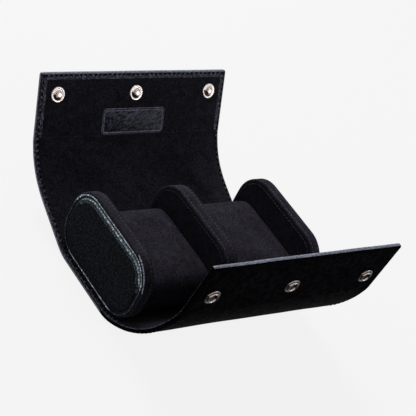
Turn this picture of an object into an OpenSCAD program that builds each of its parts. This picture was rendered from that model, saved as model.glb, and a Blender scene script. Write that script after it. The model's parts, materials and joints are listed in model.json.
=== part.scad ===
// Two-watch travel case: a leather wrap that folds round two end plates,
// a divider and two lift-out cushions, and closes with three snaps.
// Origin: middle of the underside of the base. X along the case, +Y to the back, +Z up.

/* [Wrap] */
// Length of the wrap, from end to end
case_len = 176; // [165:1:220]
// Thickness of the finished wrap: leather, board and lining together
wrap_t = 3.5; // [3:0.1:4.5]
// Thickness of the outer leather
leather_t = 1.3; // [1:0.1:1.5]
// Thickness of the suede lining
lining_t = 0.8; // [0.5:0.1:1]
// Width of the leather hem that is turned over the edge of the lining
hem_w = 5.5; // [3:0.5:10]
// How far each stiffening board stops short of the wrap's edge
board_inset = 2.5; // [2:0.5:4]
// Flat length of the base past the straight underside of the plates, at each side
base_run = 5.8; // [5:0.1:9]

/* [Bends] */
// Length of one strip of a soft bend
strip_len = 12.5; // [12:0.1:14]
// Half of the gap that is left between two strips
strip_gap = 0.3; // [0.2:0.05:0.4]
// How far a strip's inner edge is cut back, so that it can close
strip_bevel = 0.8; // [0.75:0.05:1]

/* [Front panel] */
// Length of the stiff front panel, from its bend to its free edge
front_len = 47.5; // [44:0.5:52]
// Distance from the free edge to the middle of the sockets
socket_edge = 30.5; // [20:0.5:35]

/* [Back panel] */
// Length of the stiff back panel, from its bend to its free edge
back_len = 51; // [48:0.5:56]
// Distance from the free edge to the middle of the studs
stud_edge = 16.5; // [10:0.5:20]
// Length of the bare leather patch
patch_len = 59; // [40:1:70]
// Width of the patch
patch_w = 20; // [14:0.5:21]
// Thickness of the patch
patch_t = 0.9; // [0.6:0.1:1.5]
// Corner radius of the patch
patch_r = 2.5; // [1:0.5:5]
// Distance from the free edge to the nearer edge of the patch
patch_edge = 28; // [26:0.5:28.5]

/* [Plates] */
// How far the outer faces of the end plates stand in from the wrap's ends
end_recess = 3; // [1:0.5:6]
// Length of the plates, front to back
plate_len = 96; // [86:1:110]
// Height of the plates
plate_h = 55.4; // [50:0.2:62]
// Corner radius of the plates
plate_r = 22.8; // [18:0.2:24]
// Thickness of an end plate
end_t = 10.8; // [8:0.2:14]
// Thickness of the divider
divider_t = 12.2; // [8:0.2:16]
// How far the divider stands off the middle of the case
divider_shift = -3.5; // [-8:0.5:8]
// Thickness of the suede over the plates
suede_t = 1; // [0.6:0.1:1.5]
// Thickness of the padded leather face of an end plate
face_t = 2.4; // [2:0.1:3.5]
// How far the leather face stops short of the plate's outline
face_inset = 3.4; // [3.2:0.1:6]
// Diameter of the piping round the leather face
piping_d = 2; // [1.6:0.1:2.2]

/* [Cushions] */
// Length of a cushion, front to back
cushion_len = 86; // [76:1:88]
// Height of a cushion
cushion_h = 36; // [35:1:42]
// Corner radius of a cushion
cushion_r = 17; // [14:0.5:17]
// Thickness of a cushion's suede cover
cushion_cover_t = 1.2; // [0.8:0.1:2]
// Gap between a cushion and what is round it
cushion_gap = 0.4; // [0.3:0.1:0.8]

/* [Snaps] */
// Distance from one snap to the next
snap_pitch = 72; // [55:1:76]
// Diameter of a snap's flange
snap_d = 12; // [10:0.5:13]
// Thickness of a stud's flange
stud_flange_t = 0.6; // [0.4:0.1:0.8]
// Diameter of a stud's knob
knob_d = 5.5; // [5:0.1:5.6]
// Diameter of the neck under the knob
neck_d = 4.5; // [4:0.1:4.8]
// Height of a stud's knob over its flange
knob_h = 2.7; // [2.4:0.1:2.8]
// Height of a socket over the leather
socket_h = 2; // [1.8:0.1:2.4]
// Diameter of a socket's bore
socket_bore_d = 6; // [5.8:0.1:6.4]
// Diameter of the part of a socket that is sunk in the leather
barrel_d = 8.4; // [7.5:0.1:9]
// Floor that closes a socket's bore
socket_floor = 0.4; // [0.3:0.1:0.6]
// Diameter of a rivet's post
post_d = 3; // [2:0.1:3.5]
// Diameter of a rivet's head
rivet_head_d = 9; // [7:0.5:10]
// Thickness of a rivet's head
rivet_head_t = 0.5; // [0.4:0.05:0.7]
// Clearance round a rivet and a socket's barrel
snap_clear = 0.05; // [0.02:0.01:0.1]

/* [Hidden] */
$fn = 64;
// How far a cutting block runs past what it cuts
over = 1;
// Slope of each strip of the front bend, then of the front panel, in degrees
front_slope = [21, 30, 40, 48, 57, 62.5, 71, 84.5];
// Slope of each strip of the back bend, then of the back panel, in degrees
back_slope = [19, 19.5, 20, 21.5, 29, 40, 51, 62.5];
strips = len(front_slope) - 1;
board_t = wrap_t - leather_t - lining_t;
base_half = plate_len / 2 - plate_r + base_run;
ends_span = case_len - 2 * end_recess;
bay_end = ends_span / 2 - end_t;
divider_left = divider_shift - divider_t / 2;
divider_right = divider_shift + divider_t / 2;
left_bay = [-bay_end, divider_left];
right_bay = [divider_right, bay_end];
snap_count = 3;
neck_h = knob_h / 2;

// Corner of the chain of strips before strip i, as [distance out, height]
function corner(slope, i) =
  i == 0 ? [base_half, wrap_t / 2]
         : corner(slope, i - 1) + strip_len * [cos(slope[i - 1]), sin(slope[i - 1])];

// ---- helpers ----

// Extrudes a shape drawn in (Y, Z) along X, centred on X = 0
module along_x(length) {
  translate([-length / 2, 0, 0])
    rotate([90, 0, 90])
      linear_extrude(length)
        children();
}

// A rectangle with round corners, centred
module round_rect(length, height, radius) {
  square([length - 2 * radius, height], center = true);
  square([length, height - 2 * radius], center = true);
  for (sx = [-1, 1], sy = [-1, 1])
    translate([sx * (length / 2 - radius), sy * (height / 2 - radius)])
      circle(radius);
}

// Outline of a plate, drawn in on all sides by inset
module plate_outline(inset) {
  translate([0, wrap_t + plate_h / 2])
    round_rect(plate_len - 2 * inset, plate_h - 2 * inset, plate_r - inset);
}

// A slice of a plate between two places on X
module plate_slice(from_x, to_x, inset) {
  translate([(from_x + to_x) / 2, 0, 0])
    along_x(to_x - from_x)
      plate_outline(inset);
}

// Turns what is built for the back round to the front
module at_front() {
  mirror([0, 1, 0])
    children();
}

// Lays a piece that runs along +Y on the chain, from corner i on
module on_chain(slope, i) {
  translate([0, corner(slope, i)[0], corner(slope, i)[1]])
    rotate([slope[i], 0, 0])
      children();
}

// Section of a strip, or of a panel whose far end is free
module strip_section(length, free_end) {
  far = free_end ? 0 : strip_gap;
  far_in = free_end ? 0 : strip_bevel;
  polygon([
    [strip_gap, -wrap_t / 2], [length - far, -wrap_t / 2], [length - far, 0],
    [length - far_in, wrap_t / 2], [strip_bevel, wrap_t / 2], [strip_gap, 0]
  ]);
}

module strip(slope, i) {
  color("#1b1b1d")
    on_chain(slope, i)
      along_x(case_len)
        strip_section(strip_len, false);
}

// ---- layers of a stiff panel, in the panel's own place ----

module panel_cover(length) {
  difference() {
    along_x(case_len)
      strip_section(length, true);
    panel_lining_block(length, hem_w);
    panel_board_block(length);
  }
}

module panel_board_block(length) {
  translate([-case_len / 2 + board_inset, board_inset, -wrap_t / 2 + leather_t])
    cube([case_len - 2 * board_inset, length - 2 * board_inset, board_t]);
}

module panel_lining_block(length, hem) {
  translate([-case_len / 2 + hem, -over, wrap_t / 2 - lining_t])
    cube([case_len - 2 * hem, length - hem + over, lining_t + over]);
}

module panel_lining(length) {
  intersection() {
    along_x(case_len)
      strip_section(length, true);
    panel_lining_block(length, hem_w);
  }
}

// Puts a copy at each snap, with its own Z out of the panel's lining side
module at_snaps(length, edge) {
  for (i = [0 : snap_count - 1])
    translate([(i - (snap_count - 1) / 2) * snap_pitch, length - edge, 0])
      children();
}

// Hole for a rivet's post
module post_hole() {
  translate([0, 0, -wrap_t / 2 - over])
    cylinder(h = wrap_t + 2 * over, d = post_d + 2 * snap_clear);
}

// ---- base ----

module base_section() {
  half = base_half;
  polygon([
    [-half + strip_gap, -wrap_t / 2], [half - strip_gap, -wrap_t / 2],
    [half - strip_gap, 0], [half - strip_bevel, wrap_t / 2],
    [-half + strip_bevel, wrap_t / 2], [-half + strip_gap, 0]
  ]);
}

module base_lining_block() {
  translate([-case_len / 2 + hem_w, -base_half - over, wrap_t / 2 - lining_t])
    cube([case_len - 2 * hem_w, 2 * (base_half + over), lining_t + over]);
}

module base_board_block() {
  translate([-case_len / 2 + board_inset, -base_half + board_inset, -wrap_t / 2 + leather_t])
    cube([case_len - 2 * board_inset, 2 * (base_half - board_inset), board_t]);
}

module base_cover() {
  color("#1b1b1d")
    translate([0, 0, wrap_t / 2])
      difference() {
        along_x(case_len)
          base_section();
        base_lining_block();
        base_board_block();
      }
}

module base_board() {
  color("#8a7a62")
    translate([0, 0, wrap_t / 2])
      base_board_block();
}

module base_lining() {
  color("#232226")
    translate([0, 0, wrap_t / 2])
      intersection() {
        along_x(case_len)
          base_section();
        base_lining_block();
      }
}

// ---- end plates: built for the left end, mirrored for the right ----

module end_core() {
  color("#8a7a62")
    plate_slice(-ends_span / 2 + face_t, -bay_end - suede_t, suede_t);
}

// Suede cup: the band round the rim and the face towards the bay
module end_suede() {
  color("#2a282d")
    difference() {
      plate_slice(-ends_span / 2 + face_t / 2, -bay_end, 0);
      plate_slice(-ends_span / 2, -bay_end - suede_t, suede_t);
    }
}

module end_leather() {
  color("#202226")
    plate_slice(-ends_span / 2, -ends_span / 2 + face_t, face_inset);
}

// Round bead that runs round the leather face
module end_piping() {
  bead_inset = suede_t + piping_d / 2;
  ring_r = plate_r - bead_inset;
  half_y = plate_len / 2 - plate_r;
  half_z = plate_h / 2 - plate_r;
  color("#2d2f33")
    translate([-ends_span / 2 + face_t - piping_d / 2, 0, wrap_t + plate_h / 2])
      for (sy = [-1, 1], sz = [-1, 1]) {
        turn = sy > 0 ? (sz > 0 ? 0 : 270) : (sz > 0 ? 90 : 180);
        translate([0, sy * half_y, sz * half_z])
          rotate([90, 0, 90])
            rotate([0, 0, turn])
              rotate_extrude(angle = 90)
                translate([ring_r, 0])
                  circle(d = piping_d, $fn = 32);
        translate([0, sy * half_y, sz * (half_z + ring_r)])
          rotate([sy * 90, 0, 0])
            cylinder(h = half_y, d = piping_d, $fn = 32);
        translate([0, sy * (half_y + ring_r), 0])
          rotate([sz > 0 ? 0 : 180, 0, 0])
            cylinder(h = half_z, d = piping_d, $fn = 32);
      }
}

module left_end_core() end_core();
module left_end_suede() end_suede();
module left_end_leather() end_leather();
module left_end_piping() end_piping();

module right_end_core() mirror([1, 0, 0]) end_core();
module right_end_suede() mirror([1, 0, 0]) end_suede();
module right_end_leather() mirror([1, 0, 0]) end_leather();
module right_end_piping() mirror([1, 0, 0]) end_piping();

// ---- divider ----

module divider_core() {
  color("#8a7a62")
    plate_slice(divider_left + suede_t, divider_right - suede_t, suede_t);
}

module divider_suede() {
  color("#2a282d")
    difference() {
      plate_slice(divider_left, divider_right, 0);
      divider_core();
    }
}

// ---- cushions ----

module cushion_slice(bay, inset) {
  from_x = bay[0] + cushion_gap + inset;
  to_x = bay[1] - cushion_gap - inset;
  translate([(from_x + to_x) / 2, 0, wrap_t + cushion_gap + cushion_h / 2])
    along_x(to_x - from_x)
      round_rect(cushion_len - 2 * inset, cushion_h - 2 * inset, cushion_r - inset);
}

module cushion_cover(bay) {
  color("#2b282c")
    difference() {
      cushion_slice(bay, 0);
      cushion_slice(bay, cushion_cover_t);
    }
}

module left_cushion_foam() color("#c9c2a8") cushion_slice(left_bay, cushion_cover_t);
module left_cushion_cover() cushion_cover(left_bay);
module right_cushion_foam() color("#c9c2a8") cushion_slice(right_bay, cushion_cover_t);
module right_cushion_cover() cushion_cover(right_bay);

// ---- soft bends ----

module front_bend_1() at_front() strip(front_slope, 0);
module front_bend_2() at_front() strip(front_slope, 1);
module front_bend_3() at_front() strip(front_slope, 2);
module front_bend_4() at_front() strip(front_slope, 3);
module front_bend_5() at_front() strip(front_slope, 4);
module front_bend_6() at_front() strip(front_slope, 5);
module front_bend_7() at_front() strip(front_slope, 6);

module back_bend_1() strip(back_slope, 0);
module back_bend_2() strip(back_slope, 1);
module back_bend_3() strip(back_slope, 2);
module back_bend_4() strip(back_slope, 3);
module back_bend_5() strip(back_slope, 4);
module back_bend_6() strip(back_slope, 5);
module back_bend_7() strip(back_slope, 6);

// ---- front panel: sockets stand out of its leather ----

module on_front_panel() {
  at_front()
    on_chain(front_slope, strips)
      children();
}

module front_cover() {
  color("#1b1b1d")
    on_front_panel()
      difference() {
        panel_cover(front_len);
        at_snaps(front_len, socket_edge)
          translate([0, 0, -wrap_t / 2 - over])
            cylinder(h = leather_t + over, d = barrel_d + 2 * snap_clear);
      }
}

module front_board() {
  color("#8a7a62")
    on_front_panel()
      difference() {
        panel_board_block(front_len);
        at_snaps(front_len, socket_edge) {
          post_hole();
          translate([0, 0, wrap_t / 2 - lining_t - rivet_head_t])
            cylinder(h = rivet_head_t + over, d = rivet_head_d + 2 * snap_clear);
        }
      }
}

module front_lining() {
  color("#232226")
    on_front_panel()
      panel_lining(front_len);
}

module socket() {
  barrel_h = leather_t;
  difference() {
    union() {
      translate([0, 0, -wrap_t / 2 - socket_h])
        cylinder(h = socket_h, d = snap_d);
      translate([0, 0, -wrap_t / 2])
        cylinder(h = barrel_h, d = barrel_d);
    }
    translate([0, 0, -wrap_t / 2 - socket_h - over])
      cylinder(h = socket_h + barrel_h - socket_floor + over, d = socket_bore_d);
  }
}

module snap_sockets() {
  color("#c9c6bd")
    on_front_panel()
      at_snaps(front_len, socket_edge)
        socket();
}

module socket_rivets() {
  color("#a8a59c")
    on_front_panel()
      at_snaps(front_len, socket_edge) {
        translate([0, 0, -wrap_t / 2 + leather_t])
          cylinder(h = board_t, d = post_d);
        translate([0, 0, wrap_t / 2 - lining_t - rivet_head_t])
          cylinder(h = rivet_head_t, d = rivet_head_d);
      }
}

// ---- back panel: studs and patch stand on its lining ----

module on_back_panel() {
  on_chain(back_slope, strips)
    children();
}

module back_cover() {
  color("#1b1b1d")
    on_back_panel()
      panel_cover(back_len);
}

module back_board() {
  color("#8a7a62")
    on_back_panel()
      difference() {
        panel_board_block(back_len);
        at_snaps(back_len, stud_edge) {
          post_hole();
          translate([0, 0, -wrap_t / 2 + leather_t - over])
            cylinder(h = rivet_head_t + over, d = rivet_head_d + 2 * snap_clear);
        }
      }
}

module back_lining() {
  color("#232226")
    on_back_panel()
      difference() {
        panel_lining(back_len);
        at_snaps(back_len, stud_edge)
          post_hole();
      }
}

module leather_patch() {
  color("#26262b")
    on_back_panel()
      translate([0, back_len - patch_edge - patch_w / 2, wrap_t / 2])
        linear_extrude(patch_t)
          round_rect(patch_len, patch_w, patch_r);
}

module stud() {
  translate([0, 0, wrap_t / 2])
    cylinder(h = stud_flange_t, d = snap_d);
  translate([0, 0, wrap_t / 2 + stud_flange_t])
    rotate_extrude()
      polygon([
        [0, 0], [neck_d / 2, 0], [neck_d / 2, neck_h / 2], [knob_d / 2, neck_h],
        [knob_d / 2, knob_h * 0.75], [knob_d * 0.3, knob_h], [0, knob_h]
      ]);
}

module snap_studs() {
  color("#c9c6bd")
    on_back_panel()
      at_snaps(back_len, stud_edge)
        stud();
}

module stud_rivets() {
  color("#a8a59c")
    on_back_panel()
      at_snaps(back_len, stud_edge) {
        translate([0, 0, -wrap_t / 2 + leather_t])
          cylinder(h = wrap_t - leather_t, d = post_d);
        translate([0, 0, -wrap_t / 2 + leather_t])
          cylinder(h = rivet_head_t, d = rivet_head_d);
      }
}

base_cover();
base_board();
base_lining();
left_end_core();
left_end_suede();
left_end_leather();
left_end_piping();
divider_core();
divider_suede();
right_end_core();
right_end_suede();
right_end_leather();
right_end_piping();
left_cushion_foam();
left_cushion_cover();
right_cushion_foam();
right_cushion_cover();
front_bend_1();
front_bend_2();
front_bend_3();
front_bend_4();
front_bend_5();
front_bend_6();
front_bend_7();
front_cover();
front_board();
front_lining();
snap_sockets();
socket_rivets();
back_bend_1();
back_bend_2();
back_bend_3();
back_bend_4();
back_bend_5();
back_bend_6();
back_bend_7();
back_cover();
back_board();
back_lining();
leather_patch();
snap_studs();
stud_rivets();
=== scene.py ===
"""Two-watch travel case: its leather wrap, plates, cushions and snaps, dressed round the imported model."""
import json
import math

import bpy
from mathutils import Matrix, Vector


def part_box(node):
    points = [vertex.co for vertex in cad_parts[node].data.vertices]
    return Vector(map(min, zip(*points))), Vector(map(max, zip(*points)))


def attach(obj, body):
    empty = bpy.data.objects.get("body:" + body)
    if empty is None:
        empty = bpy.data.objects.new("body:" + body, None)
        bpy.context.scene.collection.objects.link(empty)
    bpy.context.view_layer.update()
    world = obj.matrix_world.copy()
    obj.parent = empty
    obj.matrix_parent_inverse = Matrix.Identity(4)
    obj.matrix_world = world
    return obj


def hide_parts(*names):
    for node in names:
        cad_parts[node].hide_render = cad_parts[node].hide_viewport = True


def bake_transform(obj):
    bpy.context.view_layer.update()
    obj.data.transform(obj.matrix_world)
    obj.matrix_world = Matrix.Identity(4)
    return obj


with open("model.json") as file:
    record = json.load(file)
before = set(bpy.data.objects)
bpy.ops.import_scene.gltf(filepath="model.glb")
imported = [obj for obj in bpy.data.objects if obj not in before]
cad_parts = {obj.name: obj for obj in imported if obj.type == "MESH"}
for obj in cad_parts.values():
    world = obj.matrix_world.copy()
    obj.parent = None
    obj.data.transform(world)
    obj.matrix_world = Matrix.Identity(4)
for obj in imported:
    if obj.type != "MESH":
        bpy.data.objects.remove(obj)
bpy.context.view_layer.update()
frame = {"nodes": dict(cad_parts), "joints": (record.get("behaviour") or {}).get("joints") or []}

bl_info = {
    "name": "Watch Travel Case",
    "version": (1, 0, 0),
    "blender": (4, 5, 0),
    "location": "3D View > Sidebar > Travel Case",
    "description": "Dresses a folding leather case for two watches",
    "category": "Object",
}

MM = 0.001
TINY = 1e-6
SMOOTH_ANGLE = math.radians(38)
# Tint of the highlights on calf leather and on the hems.
COOL_GLINT = "#dcdff5"
HINGES = {j["name"]: j for j in frame["joints"]}
SIDES = {"back": 1, "front": -1}
SELECT_MODES = {"VERT": (True, False, False), "EDGE": (False, True, False), "FACE": (False, False, True)}


# ---- what the frame says ----

def span(node, axis):
    """Lowest and highest place of a CAD node along one axis."""
    low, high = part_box(node)
    return low[axis], high[axis]


WRAP_LOW_X, WRAP_HIGH_X = span("base_cover", 0)
WRAP_T = span("base_cover", 2)[1]
MIDDLE = WRAP_T / 2
PLATE_LOW_Y, PLATE_HIGH_Y = span("divider_suede", 1)
PLATE_LOW_Z, PLATE_HIGH_Z = span("divider_suede", 2)


# ---- what a user can change ----

class WrapSizes(bpy.types.PropertyGroup):
    panel_hem: bpy.props.FloatProperty(
        name="Panel hem", description="Leather turned over the edge of a stiff panel",
        default=5.5 * MM, min=3 * MM, max=10 * MM, unit="LENGTH")
    bend_hem: bpy.props.FloatProperty(
        name="Bend hem", description="Leather turned over the edge along the soft bends",
        default=3 * MM, min=2 * MM, max=5 * MM, unit="LENGTH")
    edge_round: bpy.props.FloatProperty(
        name="Edge rounding", description="How far the turned leather rounds off the wrap's edge",
        default=1.2 * MM, min=0.4 * MM, max=1.6 * MM, unit="LENGTH")
    stitch_pitch: bpy.props.FloatProperty(
        name="Stitch pitch", description="Distance from one stitch of the hem to the next",
        default=4.4 * MM, min=2.5 * MM, max=7 * MM, unit="LENGTH")
    ripple: bpy.props.FloatProperty(
        name="Ripple", description="How far the soft leather strays from a true sheet",
        default=0.5 * MM, min=0, max=1 * MM, unit="LENGTH")


class PlateSizes(bpy.types.PropertyGroup):
    corner: bpy.props.FloatProperty(
        name="Corner radius", description="Radius of the plates' round corners",
        default=22.8 * MM, min=18 * MM, max=24 * MM, unit="LENGTH")
    seam_inset: bpy.props.FloatProperty(
        name="Seam inset", description="Distance from a plate's edge to the seam beside it",
        default=2.4 * MM, min=1 * MM, max=5 * MM, unit="LENGTH")
    stitch_pitch: bpy.props.FloatProperty(
        name="Stitch pitch", description="Distance from one stitch of a plate's seam to the next",
        default=3.2 * MM, min=2 * MM, max=6 * MM, unit="LENGTH")
    face_inset: bpy.props.FloatProperty(
        name="Face inset", description="How far the padded leather face stops short of the outline",
        default=3.8 * MM, min=3 * MM, max=6 * MM, unit="LENGTH")


class CushionSizes(bpy.types.PropertyGroup):
    corner: bpy.props.FloatProperty(
        name="Corner radius", description="Radius of the cushions' round front and back",
        default=17 * MM, min=10 * MM, max=17 * MM, unit="LENGTH")
    swell: bpy.props.FloatProperty(
        name="Swell", description="How far the stuffing may push the cover out",
        default=1.6 * MM, min=0, max=3 * MM, unit="LENGTH")
    voxel: bpy.props.FloatProperty(
        name="Remesh size", description="Size of the cover's mesh before it is stuffed",
        default=2.6 * MM, min=2 * MM, max=6 * MM, unit="LENGTH")


class CaseColours(bpy.types.PropertyGroup):
    # The outer leather is near black, darkened further as painted shade; the hem leather is paler as
    # painted light.
    leather: bpy.props.StringProperty(
        name="Outer leather", description="sRGB colour of the smooth leather outside", default="#070709")
    hem_leather: bpy.props.StringProperty(
        name="Hem leather", description="sRGB colour of the turned hems and the patch", default="#3a3a46")
    # Painted highlight along the leather's edges.
    painted_edge_highlight_leather: bpy.props.StringProperty(
        name="Worn leather", description="sRGB colour of the leather at worn edges", default="#5c5f6e")
    grain_leather: bpy.props.StringProperty(
        name="Pebbled leather", description="sRGB colour of the end faces' leather", default="#0e1115")
    # Painted highlights on the end faces' rims and the piping: the strong one here, the fainter one below.
    painted_highlight_leather: bpy.props.StringProperty(
        name="Rubbed leather", description="sRGB colour of the rubbed pebbled rims", default="#adbbc6")
    painted_half_highlight_leather: bpy.props.StringProperty(
        name="Handled leather", description="sRGB colour of pebbles beside the rims", default="#353f46")
    suede: bpy.props.StringProperty(
        name="Suede", description="sRGB colour of the microsuede", default="#222027")
    # Painted highlight on the left band's front corner.
    painted_highlight_suede: bpy.props.StringProperty(
        name="Rubbed suede", description="sRGB colour of suede with its nap worn", default="#a49fb8")
    # Darker than the plates' suede as painted shade.
    lining: bpy.props.StringProperty(
        name="Lining", description="sRGB colour of the lining's microsuede", default="#1b1a20")
    thread: bpy.props.StringProperty(
        name="Hem thread", description="sRGB colour of the thread in the leather", default="#030304")
    # Paler than the hems' thread as painted sheen.
    suede_thread: bpy.props.StringProperty(
        name="Suede thread", description="sRGB colour of the thread in the suede", default="#55535f")
    nickel: bpy.props.StringProperty(
        name="Nickel", description="sRGB colour of the nickel plate", default="#b4a9a5")
    # Painted shade: the darker nickel of the sockets' bodies and of one side of the studs' knobs.
    painted_shade_nickel: bpy.props.StringProperty(
        name="Dark nickel", description="sRGB colour of nickel in the snaps' recesses", default="#2e2a28")


class StageSettings(bpy.types.PropertyGroup):
    floor: bpy.props.StringProperty(
        name="Floor", description="sRGB colour of the floor and of what lies behind", default="#f6f6f6")
    key: bpy.props.FloatProperty(
        name="Key light", description="Power of the large soft light behind and above",
        default=16, min=0, unit="POWER")
    fill: bpy.props.FloatProperty(
        name="Fill light", description="Power of the weak light low at the front right",
        default=4, min=0, unit="POWER")


# ---- selecting and editing ----

def only(*objects):
    """Selects these objects alone, the first one active."""
    if bpy.context.mode != "OBJECT":
        bpy.ops.object.mode_set(mode="OBJECT")
    bpy.ops.object.select_all(action="DESELECT")
    for each in objects:
        each.select_set(True)
    bpy.context.view_layer.objects.active = objects[0]


def open_edit(piece, kind, test=None):
    """Opens a piece in edit mode with what passes the test selected: a vertex's place, the places of an
    edge's two ends, or a face's centre and normal. With no test, everything is selected."""
    only(piece)
    mesh = piece.data
    bpy.context.tool_settings.mesh_select_mode = SELECT_MODES[kind]
    target = {"VERT": mesh.vertices, "EDGE": mesh.edges, "FACE": mesh.polygons}[kind]
    for group in (mesh.vertices, mesh.edges, mesh.polygons):
        group.foreach_set("select", [test is None] * len(group))
    if test is not None:
        ends = [v.co for v in mesh.vertices]
        if kind == "VERT":
            flags = [bool(test(v)) for v in ends]
        elif kind == "EDGE":
            flags = [bool(test(ends[e.vertices[0]], ends[e.vertices[1]])) for e in mesh.edges]
        else:
            flags = [bool(test(f.center, f.normal)) for f in mesh.polygons]
        target.foreach_set("select", flags)
    bpy.ops.object.mode_set(mode="EDIT")


def close_edit():
    bpy.ops.object.mode_set(mode="OBJECT")


def along(axis):
    """A test for edges that run along an axis."""
    return lambda a, b: abs(a[axis] - b[axis]) > TINY


def round_edges(piece, test, offset, segments):
    """Bevels the edges whose two ends pass the test."""
    open_edit(piece, "EDGE", test)
    bpy.ops.mesh.bevel(offset=offset, segments=segments, affect="EDGES")
    close_edit()


def draw_in(piece, test, rings):
    """Insets the faces that pass the test, ring by ring. rings holds each ring's width and rise."""
    open_edit(piece, "FACE", test)
    for width, rise in rings:
        bpy.ops.mesh.inset(thickness=width, depth=rise)
    close_edit()


def block(name, low, high):
    """A box between two corners, with its place in its mesh."""
    centre = [(a + b) / 2 for a, b in zip(low, high)]
    size = [b - a for a, b in zip(low, high)]
    bpy.ops.object.select_all(action="DESELECT")
    bpy.ops.mesh.primitive_cube_add(size=1, location=centre)
    piece = bpy.context.object
    piece.scale = size
    bpy.ops.object.transform_apply(location=True, rotation=True, scale=True)
    piece.name = name
    return piece


def cut_across(piece, places, axis):
    """Cuts rows of edges into a piece at these places along an axis."""
    normal = Vector((axis == 0, axis == 1, axis == 2))
    open_edit(piece, "FACE")
    for place in places:
        bpy.ops.mesh.select_all(action="SELECT")
        bpy.ops.mesh.bisect(plane_co=normal * place, plane_no=normal)
    close_edit()


def smooth(piece, angle=SMOOTH_ANGLE):
    only(piece)
    bpy.ops.object.shade_smooth_by_angle(angle=angle)


def copies(model, places, name):
    """One joined piece of copies of a small model, each moved by its own matrix. The model goes."""
    made = []
    for place in places:
        copy = model.copy()
        copy.data = model.data.copy()
        copy.data.transform(place)
        bpy.context.scene.collection.objects.link(copy)
        made.append(copy)
    bpy.data.objects.remove(model)
    only(*made)
    bpy.ops.object.join()
    made[0].name = name
    return made[0]


def join(*objects):
    only(*objects)
    bpy.ops.object.join()
    return objects[0]


def turn(angle, pivot):
    """Turns what is selected about a line along X, right-handed."""
    bpy.ops.transform.rotate(value=-angle, orient_axis="X", center_override=pivot)


# ---- materials ----

def linear(colour):
    """An sRGB hex colour as linear red, green, blue and alpha."""
    parts = [int(colour[i:i + 2], 16) / 255 for i in (1, 3, 5)]
    return [c / 12.92 if c <= 0.04045 else ((c + 0.055) / 1.055) ** 2.4 for c in parts] + [1]


def chosen(name):
    """One of the colours that a user may change, made linear."""
    return linear(getattr(bpy.context.scene.case_colours, name))


def scaled(colour, share):
    return [c * share for c in colour[:3]] + [1]


def grey(level):
    return (level,) * 3 + (1,)


def set_sockets(material, node, inputs):
    """Gives each of a node's sockets a value or another node's output."""
    for name, value in inputs.items():
        socket = node.inputs[name]
        if isinstance(value, bpy.types.NodeSocket):
            material.node_tree.links.new(value, socket)
        else:
            socket.default_value = value


def add_node(material, kind, inputs=None, stops=(), **settings):
    """Adds a node with its sockets and settings. stops holds a colour ramp's places and colours."""
    node = material.node_tree.nodes.new(kind)
    for name, value in settings.items():
        setattr(node, name, value)
    for i, (place, colour) in enumerate(stops):
        element = node.color_ramp.elements[i]
        element.position, element.color = place, colour
    set_sockets(material, node, inputs or {})
    return node


def new_material(name):
    """An empty material with its Principled shader wired to the output."""
    material = bpy.data.materials.new(name)
    material.use_nodes = True
    material.node_tree.nodes.clear()
    shader = add_node(material, "ShaderNodeBsdfPrincipled")
    add_node(material, "ShaderNodeOutputMaterial", {"Surface": shader.outputs[0]})
    place = add_node(material, "ShaderNodeTexCoord").outputs["Object"]
    return material, shader, place


def calf(name, colour, specular, shine, pucker, depth, run=None, tone_and_painted_light=(0.5, 1.7)):
    """Calf leather with fine pores and creases. shine holds its least and most roughness, pucker is the
    distance from crease to crease and depth how deep they are. Where the creases run one way, run holds
    the slope of the panel that they lie on and their own slant across it. tone_and_painted_light holds the
    share of the colour left in the creases and on top of them: darker creases and paler tops, partly the
    leather's own tone and partly painted shade and painted highlight."""
    material, shader, place = new_material(name)
    drawn = place
    if run:
        slope, slant = run
        flat = add_node(material, "ShaderNodeMapping", {"Vector": place, "Rotation": (slope, 0, 0)},
                        vector_type="TEXTURE")
        # Drawn out along the slant, the creases are about twice as long as wide.
        drawn = add_node(material, "ShaderNodeMapping",
                         {"Vector": flat.outputs[0], "Rotation": (0, 0, slant), "Scale": (2.2, 1, 1)},
                         vector_type="TEXTURE").outputs[0]
    cloud = add_node(material, "ShaderNodeTexNoise",
                     {"Vector": place, "Scale": 1 / (14 * MM), "Detail": 4.0})
    # Pores are about 0.5 mm apart, drawn at 0.8 mm so that they show.
    pores = add_node(material, "ShaderNodeTexVoronoi", {"Vector": place, "Scale": 1 / (0.8 * MM)})
    creases = add_node(material, "ShaderNodeTexNoise",
                       {"Vector": drawn, "Scale": 1 / pucker, "Detail": 2.5, "Roughness": 0.5})
    fine = add_node(material, "ShaderNodeBump",
                    {"Height": pores.outputs["Distance"], "Strength": 0.22, "Distance": 0.12 * MM})
    both = add_node(material, "ShaderNodeBump",
                    {"Height": creases.outputs[0], "Strength": 1.0, "Distance": depth,
                     "Normal": fine.outputs[0]})
    dye = add_node(material, "ShaderNodeValToRGB", {"Fac": cloud.outputs[0]},
                   ((0.3, scaled(colour, 0.7)), (0.7, scaled(colour, 1.35))))
    # Darker in the creases and paler on top: partly the leather's own tone, partly painted shade and
    # painted highlight.
    painted_light = add_node(material, "ShaderNodeValToRGB", {"Fac": creases.outputs[0]},
                      ((0.4, grey(tone_and_painted_light[0])), (0.6, grey(tone_and_painted_light[1]))))
    mixed = add_node(material, "ShaderNodeMix", {"Factor": 1.0, 6: dye.outputs[0], 7: painted_light.outputs[0]},
                     data_type="RGBA", blend_type="MULTIPLY")
    gloss = add_node(material, "ShaderNodeValToRGB", {"Fac": creases.outputs[0]},
                     ((0.3, grey(shine[1])), (0.7, grey(shine[0]))))
    set_sockets(material, shader, {
        "Base Color": mixed.outputs[2], "Normal": both.outputs[0], "Roughness": gloss.outputs[0],
        "Specular IOR Level": specular, "Specular Tint": linear(COOL_GLINT)})
    return material


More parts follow.
